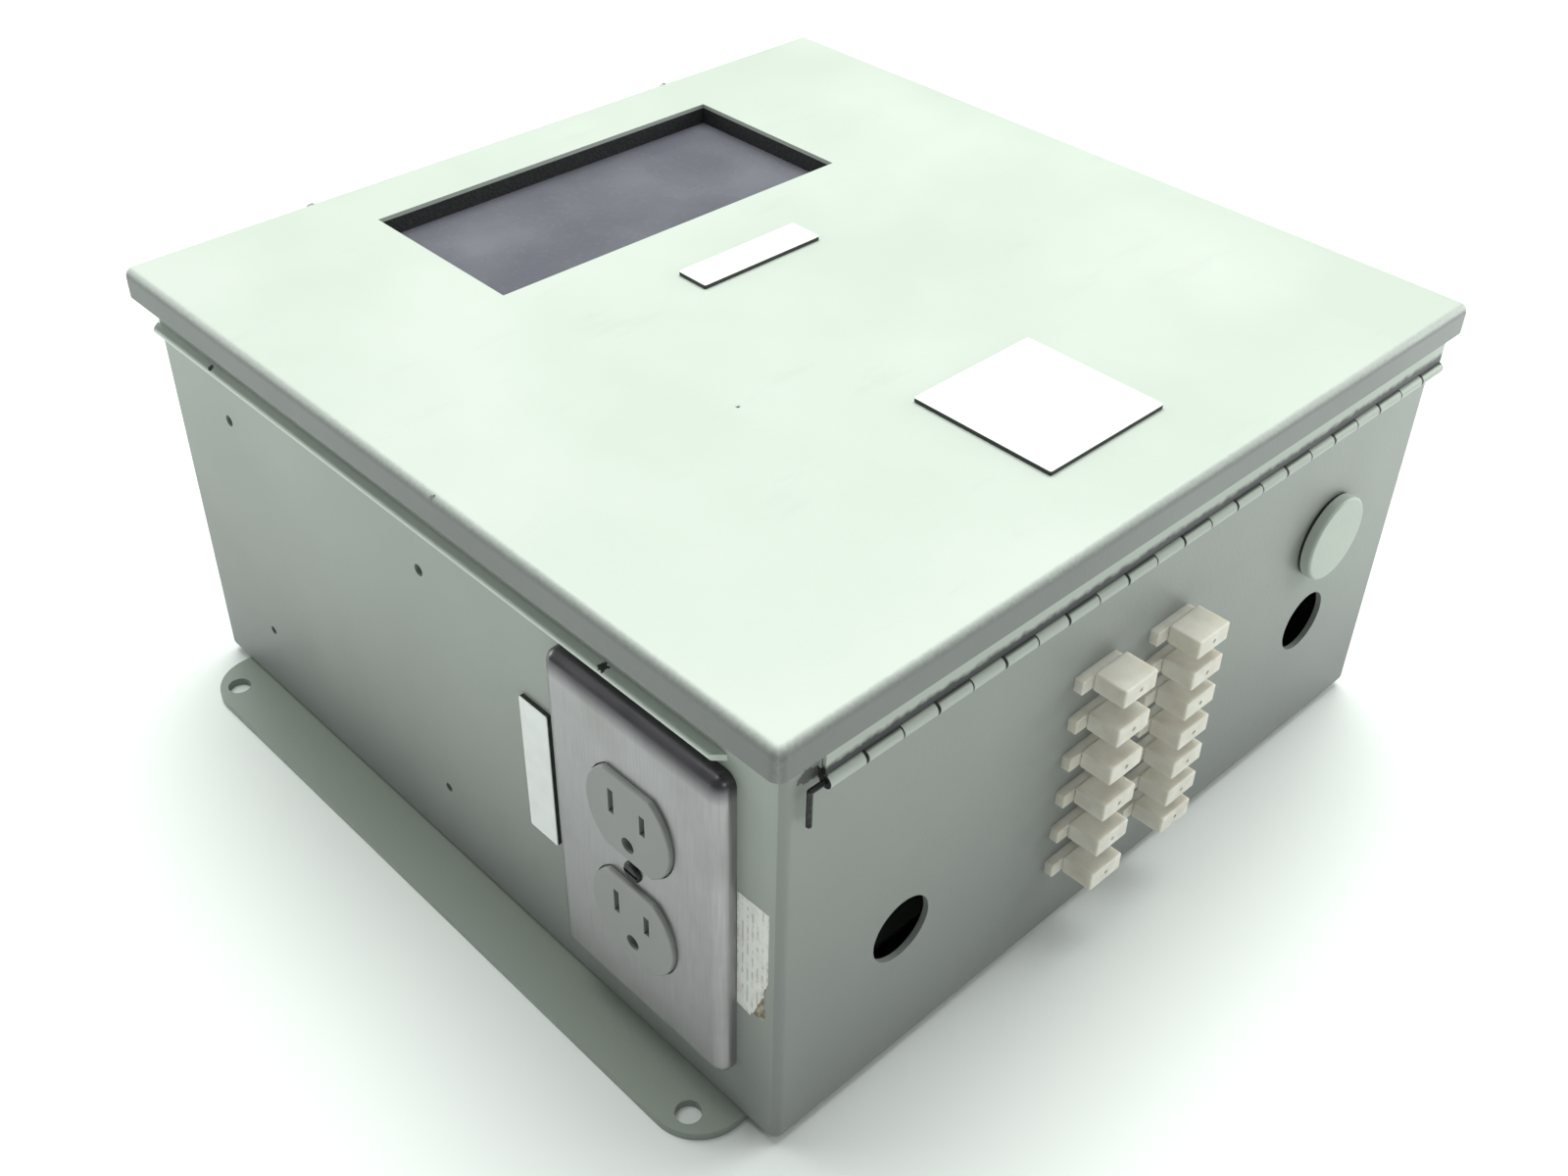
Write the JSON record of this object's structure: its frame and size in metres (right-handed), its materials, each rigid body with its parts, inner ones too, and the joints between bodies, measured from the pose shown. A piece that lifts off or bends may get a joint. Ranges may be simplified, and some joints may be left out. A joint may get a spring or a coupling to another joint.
{
  "type": "hinged wall enclosure with window and receptacle",
  "caption": "Square wall-mount steel enclosure with a hinged window door, a side receptacle, nylon cable fittings and welded mounting feet.",
  "frame": {"origin": "centre of the mounting-hole pattern, on the underside of the feet", "axes": "+Z out of the door, away from the wall it mounts on; -Y the side with the receptacle; +X the hinge side"},
  "size_m": [0.3272, 0.3304, 0.1619],
  "materials": {
    "grey_paint": "light grey-green powder coat, satin",
    "white_paint": "white enamel, satin",
    "stainless": "brushed",
    "zinc_steel": "zinc plated",
    "pin_steel": "dark drawn wire",
    "brass": "plain",
    "black_rubber": "sponge, matt",
    "tinted_pane": "smoked, semi-gloss",
    "laminate": "white face over a black core",
    "label_paper": "matt, worn",
    "device_grey": "satin",
    "device_dark": "moulded",
    "nylon": "natural nylon, waxy"
  },
  "bodies": {
    "enclosure": {"body_back": "grey_paint", "body_wall_front": "grey_paint", "body_wall_rear": "grey_paint", "body_wall_hinge": "grey_paint", "body_wall_latch": "grey_paint", "mounting_foot_front": "grey_paint", "mounting_foot_rear": "grey_paint", "drip_flange_front": "grey_paint", "drip_flange_rear": "grey_paint", "drip_flange_latch": "grey_paint", "hinge_leaf_body": "grey_paint", "hinge_pin": "pin_steel", "nameplate_outlet": "laminate", "paper_label": "label_paper", "cover_plate": "stainless", "cover_screw": "stainless", "receptacle_face": "device_grey", "receptacle_yoke": "zinc_steel", "receptacle_base": "device_dark", "contact_line": "brass", "contact_neutral": "brass", "contact_ground": "brass", "terminal_screws": "brass", "yoke_screws": "zinc_steel", "yoke_nuts": "zinc_steel", "hole_seal_cap": "grey_paint", "hole_seal_gasket": "black_rubber", "hole_seal_bar": "zinc_steel", "hole_seal_nut": "zinc_steel", "panel_studs": "zinc_steel", "inner_panel": "white_paint", "panel_nuts": "zinc_steel", "latch_pivots": "stainless", "latch_nuts": "stainless", "nylon_fitting_01": "nylon", "nylon_fitting_02": "nylon", "nylon_fitting_03": "nylon", "nylon_fitting_04": "nylon", "nylon_fitting_05": "nylon", "nylon_fitting_06": "nylon", "nylon_fitting_07": "nylon", "nylon_fitting_08": "nylon", "nylon_fitting_09": "nylon", "nylon_fitting_10": "nylon", "nylon_fitting_11": "nylon", "nylon_fitting_12": "nylon", "nylon_fitting_13": "nylon"},
    "door": {"door": "grey_paint", "door_gasket": "black_rubber", "window_seal": "black_rubber", "window_pane": "tinted_pane", "window_retainer": "zinc_steel", "window_studs": "zinc_steel", "window_nuts": "zinc_steel", "hinge_leaf_door": "grey_paint", "nameplate_door_large": "laminate", "nameplate_door_small": "laminate", "latch_catches": "stainless"},
    "latch_hook_a": {"latch_hook_1": "stainless"},
    "latch_hook_b": {"latch_hook_2": "stainless"}
  },
  "joints": [
    {"name": "door_hinge", "type": "hinge", "parent": "enclosure", "child": "door", "pos_m": [0.1506, 0, 0.1393], "axis": [0, 1, 0], "range_deg": [0, 155]},
    {"name": "latch_1_swing", "type": "hinge", "parent": "enclosure", "child": "latch_hook_a", "pos_m": [-0.15475, -0.08, 0.1283], "axis": [1, 0, 0], "range_deg": [0, 65]},
    {"name": "latch_2_swing", "type": "hinge", "parent": "enclosure", "child": "latch_hook_b", "pos_m": [-0.15475, 0.08, 0.1283], "axis": [1, 0, 0], "range_deg": [0, 65]}
  ]
}
